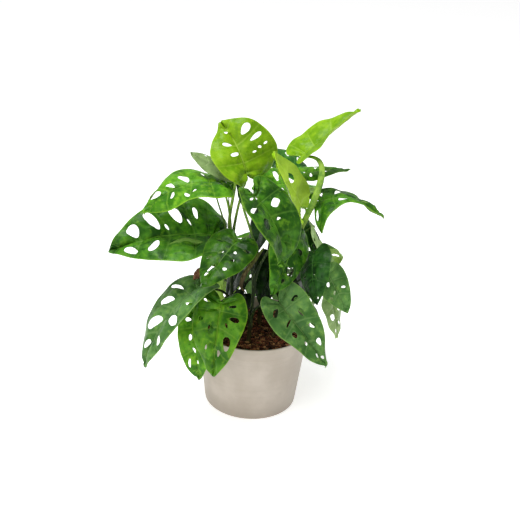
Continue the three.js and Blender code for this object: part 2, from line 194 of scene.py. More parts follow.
def turned(profile, sides):
    """Points and faces of a profile of (radius, height) swept round the Z axis."""
    points, faces = [], []
    for i in range(sides):
        angle = 2 * pi * i / sides
        for r, z in profile:
            points.append((r * cos(angle), r * sin(angle), z))
    count = len(profile)
    for i in range(sides):
        a, b = i * count, (i + 1) % sides * count
        faces += [(a + k, b + k, b + k + 1, a + k + 1) for k in range(count - 1)]
    return points, faces


def ring(radius, sides, x=0.0, y=0.0):
    """A circle of flat points."""
    steps = [2 * pi * i / sides for i in range(sides)]
    return [(x + radius * cos(a), y + radius * sin(a)) for a in steps]


def cut_sheet(loops, inside):
    """Triangles of a flat sheet: the first loop is its outline and the others are holes in it.
    They count the points of all loops in turn, and then those inside."""
    flat, edges = [], []
    for loop in loops:
        first = len(flat)
        flat += loop
        edges += [(first + i, first + (i + 1) % len(loop)) for i in range(len(loop))]
    flat = flat + inside
    out, _, found, origin, _, _ = delaunay_2d_cdt([Vector(p) for p in flat], edges, [], 0, 1e-7)
    corners = np.array([tuple(p) for p in out])
    middles = corners[np.array([tuple(f) for f in found])].mean(axis=1)
    starts = np.array([flat[a] for a, b in edges])
    ends = np.array([flat[b] for a, b in edges])
    crossings = np.zeros(len(middles), int)
    for (x0, y0), (x1, y1) in zip(starts, ends):
        if y0 == y1:
            continue
        level_with = (middles[:, 1] > min(y0, y1)) & (middles[:, 1] <= max(y0, y1))
        meets = x0 + (middles[:, 1] - y0) * (x1 - x0) / (y1 - y0)
        crossings += level_with & (meets > middles[:, 0])
    names = [o[0] for o in origin]
    return [tuple(names[v] for v in f) for f, n in zip(found, crossings) if n % 2 == 1]


def pot_wall_radius(z):
    """How far out the wall's outside is at a height, below the collar's step."""
    return POT_FOOT_RADIUS + (POT_MOUTH_RADIUS - COLLAR_STEP - POT_FOOT_RADIUS) * z / POT_HEIGHT


def pot_profile():
    """From the edge of the underside up the outside, over the lip and down to the floor."""
    collar_foot = POT_HEIGHT - COLLAR_HEIGHT
    rows = [(POT_FOOT_RADIUS - FOOT_ROUND, 0)]
    for k in range(1, 6):
        a = pi / 2 * k / 5
        rows.append((POT_FOOT_RADIUS - FOOT_ROUND * (1 - sin(a)),
                     FOOT_ROUND * (1 - cos(a))))
    for k in range(1, WALL_ROWS + 1):
        z = FOOT_ROUND + (collar_foot - FOOT_ROUND) * k / WALL_ROWS
        rows.append((pot_wall_radius(z) + MOULD_RIPPLE * sin(z / MM * 1.9), z))
    for out, up in ((0.35 * MM, 0.05 * MM), (0.8 * MM, 0.25 * MM), (COLLAR_STEP, 0.7 * MM)):
        rows.append((pot_wall_radius(collar_foot) + out, collar_foot + up))
    for k in range(1, 9):
        z = collar_foot + 0.7 * MM + (COLLAR_HEIGHT - 1.6 * MM) * k / 8
        rows.append((pot_wall_radius(z) + COLLAR_STEP - 0.1 * MM, z))
    for k in range(1, 9):
        a = pi * k / 8
        rows.append((POT_MOUTH_RADIUS - 0.1 * MM - LIP_ROUND + LIP_ROUND * cos(a),
                     POT_HEIGHT - LIP_ROUND + LIP_ROUND * sin(a)))
    for k in range(1, 30):
        z = POT_HEIGHT - 1.5 * MM - (POT_HEIGHT - POT_FLOOR - 4 * MM) * k / 29
        rows.append((pot_wall_radius(z) - POT_WALL, z))
    rows.append((pot_wall_radius(POT_FLOOR) - POT_WALL - 1.5 * MM, POT_FLOOR))
    return rows


def pot_mesh():
    """The wall swept round, and the floor's two faces with the drain holes cut through them."""
    profile = pot_profile()
    points, faces = turned(profile, POT_SIDES)
    drains = [ring(DRAIN_RADIUS, DRAIN_SIDES, *place) for place in ring(DRAIN_CIRCLE, DRAIN_HOLES)]
    for (edge, z), up in ((profile[0], False), (profile[-1], True)):
        loops = [ring(edge, POT_SIDES)] + drains
        start = len(points)
        points += [(x, y, z) for loop in loops for x, y in loop]
        for a, b, c in cut_sheet(loops, []):
            if not up:
                b, c = c, b
            faces.append((start + a, start + b, start + c))
    per_sheet = POT_SIDES + DRAIN_HOLES * DRAIN_SIDES
    low = POT_SIDES * len(profile)
    for d in range(DRAIN_HOLES):
        for i in range(DRAIN_SIDES):
            a = low + POT_SIDES + d * DRAIN_SIDES + i
            b = low + POT_SIDES + d * DRAIN_SIDES + (i + 1) % DRAIN_SIDES
            faces.append((a, a + per_sheet, b + per_sheet, b))
    return points, faces


def pot_plastic():
    """Matt moulded polypropylene: faint rings from the mould, dust and a few paler scuffs."""
    made, tree, shader, place = finish_of("pot_plastic")
    axes = node(tree, "SeparateXYZ", {0: place})
    height = axes.outputs[2]
    patches = cloud(tree, place, 28)
    rings = cloud(tree, stretched(tree, place, 9, 9, 420), 1.0, 3)
    grain = cloud(tree, place, 2600, 2)
    base = dye(tree, spread(tree, patches, 0.35, 0.75), colour(TAUPE), colour(TAUPE_DUSTY))
    base = tint(tree, spread(tree, rings, 0.45, 0.75), base, 0.1, colour(TAUPE_SHADE))
    base = tint(tree, spread(tree, height, 0.03, 0.0), base, 0.35, colour(TAUPE_SHADE))
    scuffs = cloud(tree, stretched(tree, place, 70, 70, 140), 1.0, 5, 0.7)
    base = tint(tree, spread(tree, scuffs, 0.64, 0.82), base, 0.3, colour(TAUPE_SCUFF))
    rough = plus(tree, times(tree, patches, 0.2), 0.44)
    relief = plus(tree, times(tree, rings, 0.12), times(tree, grain, 0.3))
    dress(tree, shader, base, rough, relief, 0.00006)
    return made


pot = mesh_piece("nursery_pot", *pot_mesh(), pot_plastic(), crease=60)
welded = bmesh.new()
welded.from_mesh(pot.data)
bmesh.ops.remove_doubles(welded, verts=welded.verts, dist=1e-6)
welded.to_mesh(pot.data)
welded.free()
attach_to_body(pot, "root")
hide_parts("pot")

# ---- the soil ----
# Coarse coir and peat pressed into the pot to a finger's width under the rim: a dark crumbly bed
# with husk chips and loose fibres lying on it.
SOIL_LEVEL = 79 * MM
SOIL_GAP = 0.3 * MM
SOIL_RINGS = 44
SOIL_SIDES = 132
COIR_DARK = "#0b0604"
COIR_RED = "#84452c"
COIR_PALE = "#d6a070"
CHIPS = 1700
FIBRES = 330
CHIP_SIZES = tuple(size * MM for size in (1.8, 2.4, 3.0, 4.0, 5.4))
FIBRE_RADIUS = 0.16 * MM
COIR_SHINE = 0.2


def soil_height(x, y):
    """The bed's relief: low mounds, crumbs on them and a shallow dip at the wall."""
    p = Vector((x, y, 0))
    rise = 1.4 * MM * noise.noise(p * 55) + 1.3 * MM * noise.noise(p * 160 + Vector((3, 1, 7)))
    crumbs = 1.7 * MM * abs(noise.noise(p * 420)) + 0.7 * MM * noise.noise(p * 900)
    return SOIL_LEVEL - 1.2 * MM + rise + crumbs


def soil_bed():
    """The plug of soil: its rough top, its side and its flat underside."""
    edge = pot_wall_radius(SOIL_LEVEL) - POT_WALL - SOIL_GAP
    foot = pot_wall_radius(POT_FLOOR) - POT_WALL - 2 * MM
    points = [(0, 0, soil_height(0, 0))]
    for k in range(1, SOIL_RINGS + 1):
        r = edge * k / SOIL_RINGS
        points += [(x, y, soil_height(x, y)) for x, y in ring(r, SOIL_SIDES)]
    points += [(x, y, SOIL_LEVEL - 6 * MM) for x, y in ring(edge - 0.8 * MM, SOIL_SIDES)]
    points += [(x, y, POT_FLOOR + SOIL_GAP) for x, y in ring(foot, SOIL_SIDES)]
    points.append((0, 0, POT_FLOOR + SOIL_GAP))
    faces = [(0, 1 + i, 1 + (i + 1) % SOIL_SIDES) for i in range(SOIL_SIDES)]
    for k in range(SOIL_RINGS + 1):
        a = 1 + k * SOIL_SIDES
        for i in range(SOIL_SIDES):
            j = (i + 1) % SOIL_SIDES
            faces.append((a + i, a + SOIL_SIDES + i, a + SOIL_SIDES + j, a + j))
    last = 1 + (SOIL_RINGS + 1) * SOIL_SIDES
    faces += [(len(points) - 1, last + (i + 1) % SOIL_SIDES, last + i) for i in range(SOIL_SIDES)]
    return points, faces


def chip(dice, x, y, size):
    """A torn flake of husk lying at a slant: six corners pulled about."""
    spin, tilt = dice.uniform(0, 2 * pi), dice.uniform(-0.6, 0.6)
    lie = Matrix.Rotation(spin, 3, "Z") @ Matrix.Rotation(tilt, 3, "X")
    length, width, thick = size, size * dice.uniform(0.35, 0.8), size * dice.uniform(0.12, 0.35)
    corners = []
    for z in (-thick / 2, thick / 2):
        for cx, cy in ((-1, -0.6), (0.1, -1), (1, -0.3), (0.7, 0.8), (-0.6, 1)):
            pull = Vector([dice.uniform(-reach, reach) for reach in (0.2, 0.2, 0.3)])
            corner = Vector(((cx + pull.x) * length / 2, (cy + pull.y) * width / 2,
                             z + pull.z * thick))
            corners.append(lie @ corner + Vector((x, y, soil_height(x, y) + size * 0.12)))
    faces = [(4, 3, 2, 1, 0), (5, 6, 7, 8, 9)]
    faces += [(i, (i + 1) % 5, 5 + (i + 1) % 5, 5 + i) for i in range(5)]
    return corners, faces


def pipe(path, radii, sides=8, flat=1.0, face=None):
    """A round tube along a path, with a radius at each point and closed ends. flat squashes the
    section and face says which way it is thin."""
    points, faces = [], []
    across = face.cross(path[1] - path[0]) if face else (path[1] - path[0]).orthogonal()
    across.normalize()
    for i, (centre, radius) in enumerate(zip(path, radii)):
        along = (path[min(i + 1, len(path) - 1)] - path[max(i - 1, 0)]).normalized()
        across = (across - along * across.dot(along)).normalized()
        lift = along.cross(across)
        for k in range(sides):
            a = 2 * pi * k / sides
            points.append(centre + (across * cos(a) + lift * sin(a) * flat) * radius)
        if i:
            a, b = (i - 1) * sides, i * sides
            faces += [(a + k, a + (k + 1) % sides, b + (k + 1) % sides, b + k)
                      for k in range(sides)]
    faces += [tuple(reversed(range(sides))), tuple(range(len(points) - sides, len(points)))]
    return points, faces


def fibre(dice, x, y):
    """A loose curly thread of coir."""
    heading = dice.uniform(0, 2 * pi)
    bend = dice.uniform(-0.5, 0.5)
    at = Vector((x, y, 0))
    path = []
    for _ in range(7):
        rise = soil_height(at.x, at.y) + dice.uniform(0.2, 1.4) * MM
        path.append(Vector((at.x, at.y, rise)))
        heading += bend + dice.uniform(-0.25, 0.25)
        at += Vector((cos(heading), sin(heading), 0)) * dice.uniform(1.2, 2.2) * MM
    return pipe(path, [FIBRE_RADIUS] * len(path), 4)


def soil_mesh():
    """The bed with its chips and fibres, and how pale each point is."""
    dice = random.Random(41)
    points, faces = soil_bed()
    points = [Vector(p) for p in points]
    pale = [0.0] * len(points)
    reach = pot_wall_radius(SOIL_LEVEL) - POT_WALL - SOIL_GAP
    for n in range(CHIPS + FIBRES):
        r, a = reach * 0.94 * sqrt(dice.random()), dice.uniform(0, 2 * pi)
        x, y = r * cos(a), r * sin(a)
        size = dice.choice(CHIP_SIZES)
        more, shapes = chip(dice, x, y, size) if n < CHIPS else fibre(dice, x * 0.85, y * 0.85)
        first = len(points)
        points += more
        faces += [tuple(first + v for v in f) for f in shapes]
        dryness = 0.12 + 0.75 * dice.random() ** 2.5 if n < CHIPS else dice.uniform(0.45, 0.9)
        pale += [dryness] * len(more)
    return points, faces, pale


def coir():
    """Damp coir: dark red-brown, with paler dry chips and fibres."""
    made, tree, shader, place = finish_of("coir")
    pale = node(tree, "Attribute", attribute_name="pale").outputs["Fac"]
    patches = cloud(tree, place, 90)
    grain = cloud(tree, place, 1500, 5, 0.7)
    base = tint(tree, spread(tree, patches, 0.45, 0.75), colour(COIR_DARK), 0.45, colour(COIR_RED))
    base = dye(tree, spread(tree, pale, 0.0, 0.45), base, colour(COIR_RED))
    base = dye(tree, spread(tree, pale, 0.4, 1.0), base, colour(COIR_PALE))
    base = dye(tree, spread(tree, grain, 0.42, 0.7), base, colour(COIR_DARK))
    rough = plus(tree, times(tree, grain, 0.25), 0.7)
    dress(tree, shader, base, rough, grain, 0.0004)
    shader.inputs["Specular IOR Level"].default_value = COIR_SHINE
    return made


bed_points, bed_faces, bed_pale = soil_mesh()
soil = mesh_piece("coir_bed", bed_points, bed_faces, coir(), crease=35)
mark(soil, "pale", bed_pale)
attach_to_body(soil, "root")
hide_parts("soil")

# ---- the cuttings ----
# Five rooted cuttings share the pot. Each is one green stem with its leaf stalks: a stalk sheathes
# the stem at a node, arches up and out, and swells just under its blade. All sizes here are in mm.
STEM_RADIUS = 2.2
STALK_RADIUS = 1.1
BLADE_GAP = 0.7
STEM_STEPS = 90
STALK_STEPS = 40
STEM_SHINE = 0.15
STEMS = {
    "left": ((-22, -6, 57), (-22, -6, 86), (-25, -4, 135), (-27, 2, 185)),
    "front": ((-4, -22, 57), (-4, -22, 86), (-2, -16, 130), (0, -6, 175)),
    "right": ((22, -6, 57), (22, -6, 86), (28, -2, 130), (32, 6, 180)),
    "back": ((6, 18, 57), (6, 18, 86), (10, 22, 140), (16, 24, 200)),
    "rear": ((-14, 26, 57), (-14, 26, 86), (-14, 34, 115), (-12, 40, 145)),
}
# The leaves that each stem carries, in the order of LEAF_SIZES. height is where the stalk leaves
# the stem; base is where blade meets stalk and tip is the blade's point. turn rolls the blade about
# that line, folds lift its left and right halves, droop bends the midrib over, cup turns the
# margins down and twist turns the tip. via is the stalk's route where it doesn't just arch.
LEAF_SIZES = ("stem", "height", "base", "tip", "width", "turn", "folds", "droop", "cup", "twist",
              "via")
CARRIED = {"left": (
    ("top", 175, (-15, 4, 253), (-43, 26, 299), 80, -5, (25, 10), 40, 0.05, 60),
    ("top_left", 180, (-31, -6, 259), (-70, -6, 277), 32, 140, (15, 15), 30, 0.1, -5,
     ((-37, -6, 215), (-17, -8, 251))),
    ("left_upper", 165, (-41, -10, 247), (-111, -32, 219), 66, 5, (5, 10), 70, 0.2, 25),
    ("left_long", 150, (-43, -3, 189), (-147, -34, 178), 86, -8, (8, 20), 35, 0.05, 35),
    ("low_left", 110, (-56, -42, 149), (-104, -72, 71), 66, 0, (20, 0), 60, 0.05, 10),
    ("pot_left", 98, (-53, -36, 116), (-52, -56, 49), 48, 35, (12, 14), 40, 0.15, 15),
    ("left_fold", 160, (-43, 18, 242), (-27, 17, 229), 22, 50, (10, 10), 20, 0.05, 0),
    ("sliver", 170, (-22, -2, 245), (-18, -5, 223), 12, -20, (3, 3), 20, 0.15, -10),
), "front": (
    ("front", 160, (-6, -58, 255), (22, -69, 188), 72, 0, (14, 14), 65, 0, -15),
    ("front_left", 140, (-20, -46, 204), (-50, -92, 173), 50, -10, (0, 5), 20, 0.18, -10),
    ("front_under", 145, (35, -25, 206), (15, -66, 157), 50, -60, (0, 2), 40, 0.12, -5),
    ("pot_front", 100, (-32, -62, 144), (-36, -84, 72), 57, 10, (6, 8), 30, 0.15, -10),
    ("pot_right", 104, (24, -58, 145), (72, -93, 95), 54, 15, (40, 10), 15, 0.1, 10),
), "right": (
    ("right", 130, (56, -21, 183), (62, -53, 142), 42, 44, (6, -24), 50, 0.1, 15),
    ("right_shade", 155, (48, 29, 194), (60, 7, 158), 31, -35, (10, 10), 40, 0.14, -5),
    ("right_pale", 165, (56, 14, 195), (87, 10, 152), 34, 170, (8, 8), 30, 0.12, -20),
    ("right_low", 115, (72, -12, 158), (96, -22, 118), 36, 40, (5, 5), 15, 0.15, 5),
    ("right_lowest", 100, (79, 2, 123), (89, -2, 76), 34, 10, (3, 3), 20, 0.15, 0),
    ("right_inner", 104, (48, -22, 131), (72, -36, 99), 32, -10, (3, 3), 20, 0.15, 0),
    ("wing", 170, (58, -8, 234), (122, -20, 223), 60, 0, (15, -25), 80, 0.22, 50),
    ("spear", 170, (40, 6, 275), (94, 28, 319), 53, 0, (22, 23), 0, 0.02, 15,
     ((50, -30, 236), (76, -22, 290))),
    ("right_point", 176, (45, 32, 249), (91, 37, 252), 32, 10, (0, 2), 15, 0.13, 20),
    ("young", 172, (41, -6, 226), (9, -18, 285), 52, 145, (0, 0), -10, 0.15, -5),
), "back": (
    ("back_top", 196, (42, 73, 239), (-1, 77, 253), 44, -12, (-3, 0), 20, 0.2, 20),
    ("inner", 188, (27, 42, 231), (-9, 2, 239), 40, -40, (8, 5), 30, 0.14, 5),
    ("heart_high", 165, (9, 15, 208), (-5, 7, 162), 40, 0, (8, 8), 20, 0.08, 0),
    ("heart_middle", 120, (15, 9, 160), (8, 0, 107), 38, 0, (8, 8), 20, 0.08, 0),
    ("heart_right", 130, (40, 21, 158), (54, 14, 108), 38, -5, (8, 8), 20, 0.08, 0),
    ("heart_low_right", 96, (36, 39, 120), (40, 30, 84), 34, 0, (8, 8), 20, 0.08, 0),
    ("rear_top", 192, (34, 64, 221), (50, 116, 185), 50, 0, (10, 12), 40, 0.1, 5),
    ("rear_upper", 140, (24, 48, 182), (30, 98, 128), 60, 0, (12, 12), 45, 0.1, 0),
    ("rear_right", 125, (54, 46, 164), (88, 86, 116), 56, 0, (12, 12), 40, 0.1, 10),
    ("rear_low_right", 100, (42, 60, 122), (58, 84, 56), 50, 0, (10, 10), 30, 0.1, 0),
), "rear": (
    ("heart_left", 120, (-9, 16, 157), (-30, 7, 109), 44, 5, (8, 8), 20, 0.08, 0),
    ("heart_low_left", 98, (-12, 18, 112), (-16, 13, 84), 26, 0, (8, 8), 20, 0.08, 0),
    ("rear_left", 135, (-26, 58, 158), (-48, 100, 104), 54, 0, (12, 12), 40, 0.1, -10),
    ("rear_middle", 110, (6, 64, 118), (10, 84, 48), 52, 0, (10, 10), 30, 0.1, 5),
    ("rear_low_left", 100, (-36, 58, 112), (-40, 80, 48), 44, 0, (10, 10), 30, 0.1, 0),
)}
LEAVES = {"leaf_" + name: dict(zip(LEAF_SIZES, (stem, *sizes)))
          for stem, rows in CARRIED.items() for name, *sizes in rows}
STEM_GREEN = "#5d8a34"
STEM_YOUNG = "#9cc04a"
STEM_WOODY = "#5a4a30"
# Painted shade for the stems low down inside the plant.
STEM_PAINTED_SHADE = "#1c2c0e"
STEM_FLECK = "#b9cf7e"
SHEATH_DRY = "#4a2618"
SHEATH_PALE = "#8a6248"
# Stalks that stay winged and flat like a strap, and how much wider in mm.
STRAPS = {"leaf_spear": 1.9, "leaf_top_left": 0.5}


def smooth_path(corners, steps):
    """A curve through all corners."""
    ends = [2 * corners[0] - corners[1], *corners, 2 * corners[-1] - corners[-2]]
    path = []
    for i in range(steps + 1):
        at = i / steps * (len(corners) - 1)
        k = min(int(at), len(corners) - 2)
        t = at - k
        a, b, c, d = ends[k:k + 4]
        path.append(0.5 * (2 * b + (c - a) * t + (2 * a - 5 * b + 4 * c - d) * t * t
                           + (3 * b - a - 3 * c + d) * t ** 3))
    return path


def leaf_frame(leaf):
    """A leaf's start, its direction to the tip, the way it faces, its left-to-right direction and
    the length of its midrib."""
    start, tip = Vector(leaf["base"]), Vector(leaf["tip"])
    chord = (tip - start).normalized()
    up = Vector((0, 0, 1))
    up = (up - chord * chord.z).normalized()
    across = chord.cross(up)
    turn = radians(leaf["turn"])
    face = up * cos(turn) + across * sin(turn)
    across = across * cos(turn) - up * sin(turn)
    half = radians(leaf["droop"] or 0.1) / 2
    return start, chord, face, across, (tip - start).length * half / sin(half)


def stalk_path(leaf, steps):
    """A stalk leaves its stem upwards, arches out and meets the blade's notch from below."""
    stem = smooth_path([Vector(p) for p in STEMS[leaf["stem"]]], 2 * STEM_STEPS)
    root = min(stem, key=lambda p: abs(p.z - leaf["height"]))
    start, chord, face, _, _ = leaf_frame(leaf)
    end = start - face * (BLADE_GAP + 0.1) - chord * 0.6
    span = (end - root).length
    arrive = face * 0.7 + chord * 0.45 + Vector((0, 0, 0.6 * max(face.z, 0)))
    leave = Vector((0, 0, 0.85)) + (end - root).normalized() * 0.35
    via = [Vector(p) for p in leaf["via"]] if "via" in leaf else [
        root + leave * span * 0.4, end - arrive.normalized() * span * 0.25]
    path = []
    for i in range(steps + 1):
        t = i / steps
        path.append(root * (1 - t) ** 3 + 3 * via[0] * t * (1 - t) ** 2
                    + 3 * via[1] * t * t * (1 - t) + end * t ** 3)
    return path


def swelling(t, where, reach):
    """A rounded bump of 0 to 1 along a stalk."""
    return exp(-((t - where) / reach) ** 2)


def cutting_mesh(stem_name):
    """A stem with its stalks: points, faces, and how old and how sheathed each point is."""
    points, faces, age, dry = [], [], [], []

    def attach(part, ages, dryness=0.0):
        """Adds a part to the cutting, its ages spread evenly from its foot to its end."""
        first = len(points)
        points.extend(p * MM for p in part[0])
        faces.extend(tuple(first + v for v in f) for f in part[1])
        per = len(part[0]) / len(ages)
        age.extend(ages[min(int(i / per), len(ages) - 1)] for i in range(len(part[0])))
        dry.extend([dryness] * len(part[0]))

    carried = {n: leaf for n, leaf in LEAVES.items() if leaf["stem"] == stem_name}
    line = smooth_path([Vector(p) for p in STEMS[stem_name]], STEM_STEPS)
    knots = [leaf["height"] for leaf in carried.values()]
    radii = []
    for i, p in enumerate(line):
        near = max(swelling(p.z, z - 3, 2.2) for z in knots)
        radii.append(STEM_RADIUS * (1.06 - 0.42 * (i / STEM_STEPS) ** 2) + 0.55 * near)
    ages = [max(0.0, 1 - (p.z - 70) / 70) for p in line]
    attach(pipe(line, radii, 14), ages)
    for leaf_name, leaf in carried.items():
        path = stalk_path(leaf, STALK_STEPS)
        _, _, face, _, _ = leaf_frame(leaf)
        small = min(1.0, leaf["width"] / 55) ** 0.5
        wing = STRAPS.get(leaf_name, 0)
        radii = []
        for i in range(STALK_STEPS + 1):
            t = i / STALK_STEPS
            base = STALK_RADIUS * small * (1.55 - 0.6 * t + 0.35 * swelling(t, 1.0, 0.07))
            base += 0.9 * small * swelling(t, 0.0, 0.16)
            radii.append(base + wing * swelling(t, 0.5, 0.42) * min(1, (1 - t) / 0.08))
        flat = 0.45 if wing else 0.86
        attach(pipe(path, radii, 12, flat, Vector((0, -1, 0.3)) if wing else face),
               [0.12 + 0.3 * (1 - i / STALK_STEPS) for i in range(STALK_STEPS + 1)])
    for *sheath, dryness in SHEATHS.get(stem_name, []):
        attach(sheath_mesh(*sheath), [0.5], dryness)
    return points, faces, age, dry


# Papery sheaths that are drying on the stalks: along which points each lies, its half width, how
# deeply it curls and how dry it is.
SHEATHS = {
    "left": [(((-52, -30, 164), (-57, -33, 160), (-62, -36, 154)), 4.5, 0.8, 1.0)],
    "front": [(((6, -46, 197), (-2, -50, 186), (-11, -54, 172), (-14, -56, 160), (-9, -58, 153)),
               2.2, 0.5, 0.3)],
}


STRIP_STEPS = 24
STRIP_ROWS = 6


def sheath_mesh(corners, half, curl):
    """A thin torn strip that curls lengthwise, wide in the middle and ragged at its edges."""
    line = smooth_path([Vector(c) for c in corners], STRIP_STEPS)
    points, faces = [], []
    for i, p in enumerate(line):
        along = (line[min(i + 1, STRIP_STEPS)] - line[max(i - 1, 0)]).normalized()
        out = along.cross(Vector((0, -1, 0.4))).normalized()
        lift = out.cross(along)
        t = i / STRIP_STEPS
        wide = half * (0.25 + 0.75 * sin(pi * min(1, t * 1.1)) ** 0.7)
        for k in range(STRIP_ROWS + 1):
            a = (k / STRIP_ROWS - 0.5) * 2
            ragged = 1 + 0.16 * noise.noise(Vector((i * 0.7, k, half)))
            bow = curl * wide * (1 - a * a) + 0.3 * sin(9 * t + 2 * a)
            points.append(p + out * a * wide * ragged + lift * bow)
    top, row = len(points), STRIP_ROWS + 1
    points += [p + Vector((0, 0.3, -0.15)) for p in points]
    for i in range(STRIP_STEPS):
        for k in range(STRIP_ROWS):
            a = i * row + k
            b = a + row
            faces += [(a, a + 1, b + 1, b), (top + a, top + b, top + b + 1, top + a + 1)]
        for k, way in ((0, 1), (STRIP_ROWS, -1)):
            a = i * row + k
            faces.append((a, a + row, top + a + row, top + a)[::way])
    for i, way in ((0, 1), (STRIP_STEPS, -1)):
        for k in range(STRIP_ROWS):
            a = i * row + k
            faces.append((a, a + 1, top + a + 1, top + a)[::way])
    return points, faces


def stalk_skin():
    """Smooth waxy green skin, yellower when young, with fine pale flecks, a woody foot and painted
    shade that turns the stems near black low down inside the plant.
    """
    made, tree, shader, place = finish_of("stalk_skin")
    age = node(tree, "Attribute", attribute_name="age").outputs["Fac"]
    dry = node(tree, "Attribute", attribute_name="dry").outputs["Fac"]
    patches = cloud(tree, place, 120)
    streaks = cloud(tree, stretched(tree, place, 900, 900, 120), 1.0, 4)
    height = node(tree, "SeparateXYZ", {0: place}).outputs[2]
    base = dye(tree, spread(tree, patches, 0.3, 0.7), colour(STEM_GREEN), colour(STEM_YOUNG))
    # Painted shade: the stems are painted near black from 235 mm above the floor down, fully below
    # 165 mm, for the shade deep inside the plant.
    base = dye(tree, spread(tree, height, 0.235, 0.165), base, colour(STEM_PAINTED_SHADE))
    base = dye(tree, spread(tree, age, 0.45, 1.0), base, colour(STEM_WOODY))
    base = tint(tree, spread(tree, streaks, 0.55, 0.75), base, 0.3, colour(STEM_FLECK))
    papery = dye(tree, spread(tree, streaks, 0.3, 0.7), colour(SHEATH_DRY), colour(SHEATH_PALE))
    base = dye(tree, dry, base, papery)
    rough = plus(tree, times(tree, dry, 0.3), 0.48)
    dress(tree, shader, base, rough, streaks, 0.00015)
    shader.inputs["Specular IOR Level"].default_value = STEM_SHINE
    return made


skin = stalk_skin()
for stem_name in STEMS:
    cutting_points, cutting_faces, age, dry = cutting_mesh(stem_name)
    cutting = mesh_piece("cutting_" + stem_name, cutting_points, cutting_faces, skin, crease=50)
    mark(cutting, "age", age)
    mark(cutting, "dry", dry)
    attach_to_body(cutting, "root")
    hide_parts("vine_" + stem_name)

# ---- the leaf blades ----
# Thin leathery blades, heart-shaped to long oval, with oval holes between the side veins. They are
# glossy green above, paler and duller below, and bright yellow-green while young. Each one grows
# from the swollen end of its stalk.
BLADE_HALF = 0.24          # half the blade's thickness, mm
MESH_STEP = 2.1            # how closely a blade is meshed, mm
MARGIN_STEPS = 400
OUTLINE_STEPS = 60
HOLE_SIDES = 22
LEAF_SHINE = 0.12
# Half of a blade laid flat, from the notch at the stalk to the point: how far out the margin lies
# as a share of the width, how far along as a share of the length, and where on the midrib the side
# vein to that place starts.
MARGIN = [Vector(p) for p in (
    (0, 0, 0), (0.1, -0.09, 0), (0.25, -0.15, 0.01), (0.4, -0.09, 0.03), (0.49, 0.08, 0.09),
    (0.49, 0.28, 0.2), (0.42, 0.5, 0.38), (0.29, 0.71, 0.58), (0.14, 0.88, 0.78),
    (0.045, 0.965, 0.92), (0, 1, 1))]
MARGIN_LINE = smooth_path(MARGIN, MARGIN_STEPS)
# Lobes and waists that a margin grew with: which half (0 is both), how far along, how far they
# reach and how much wider.
LOBES = {
    "leaf_top": ((1, 0.78, 0.13, 0.3), (0, 0.2, 0.15, -0.36)),
    "leaf_top_left": ((0, 0.5, 0.35, -0.3),),
    "leaf_wing": ((1, 0.7, 0.28, -0.62), (1, 0.2, 0.16, 0.6)),
    "leaf_front": ((1, 0.5, 0.25, 0.2),),
}
# Torn shreds of a blade that have curled up on it: the places they pass and their height, mm.
TORN = {
    "leaf_left_long": (((-1, 0.62, 0.42), 0.8), ((-1, 0.56, 0.36), 2.6), ((-1, 0.5, 0.42), 1.6),
                       ((-1, 0.44, 0.5), 2.4)),
}
TORN_HALF = 3.2            # half a shred's width, mm
TORN_CURL = 0.9
# How bright a leaf is beside the rest of its tone: under 1 is darker. The shares are partly each
# leaf's own tone and partly painted light and shade: the leaf_heart_* leaves at 0.2 to 0.4 are
# painted near black as painted shade for the deep middle of the plant, and front_left is painted
# darker as painted shade.
TONE_AND_PAINTED_LIGHT = {
    "front_left": 0.58, "pot_front": 0.72, "pot_right": 0.85, "low_left": 0.9, "top": 0.76,
    "spear": 0.8, "front": 0.88, "right": 0.75, "right_low": 1.15, "right_pale": 1.35, "inner": 1.5,
    "young": 1.2, "back_top": 1.5, "heart_high": 0.4, "heart_left": 0.25, "heart_middle": 0.25,
    "heart_right": 0.25, "heart_low_left": 0.2, "heart_low_right": 0.2, "top_left": 0.8,
}
VEIN_BEND = 1.25           # side veins leave the midrib squarely and bend towards the tip

# Upper side, shaded or older patches, youngest patches, under side and vein.
TONES = {
    "lime": ("#8cbb1c", "#6c9f0c", "#a8cf30", "#a6c83e", "#b4d652"),
    "bright": ("#5d9a1e", "#326a0e", "#8cba2c", "#88ad44", "#82b03a"),
    "mid": ("#467f1c", "#204d0e", "#73a526", "#7ca04c", "#689a35"),
    "deep": ("#2a5a1e", "#143810", "#4c8029", "#5d863f", "#477c30"),
    # The grey tone is a muted grey-green, partly the leaves' own colour and partly a painted sheen
    # standing in for the bluish gleam that the bright surround lays on glossy blades.
    "grey": ("#5e8a46", "#3e6a2e", "#84ac4e", "#88a76c", "#7ba05e"),
    "pale": ("#98b474", "#799a55", "#b4cc86", "#98b474", "#b5c890"),
}
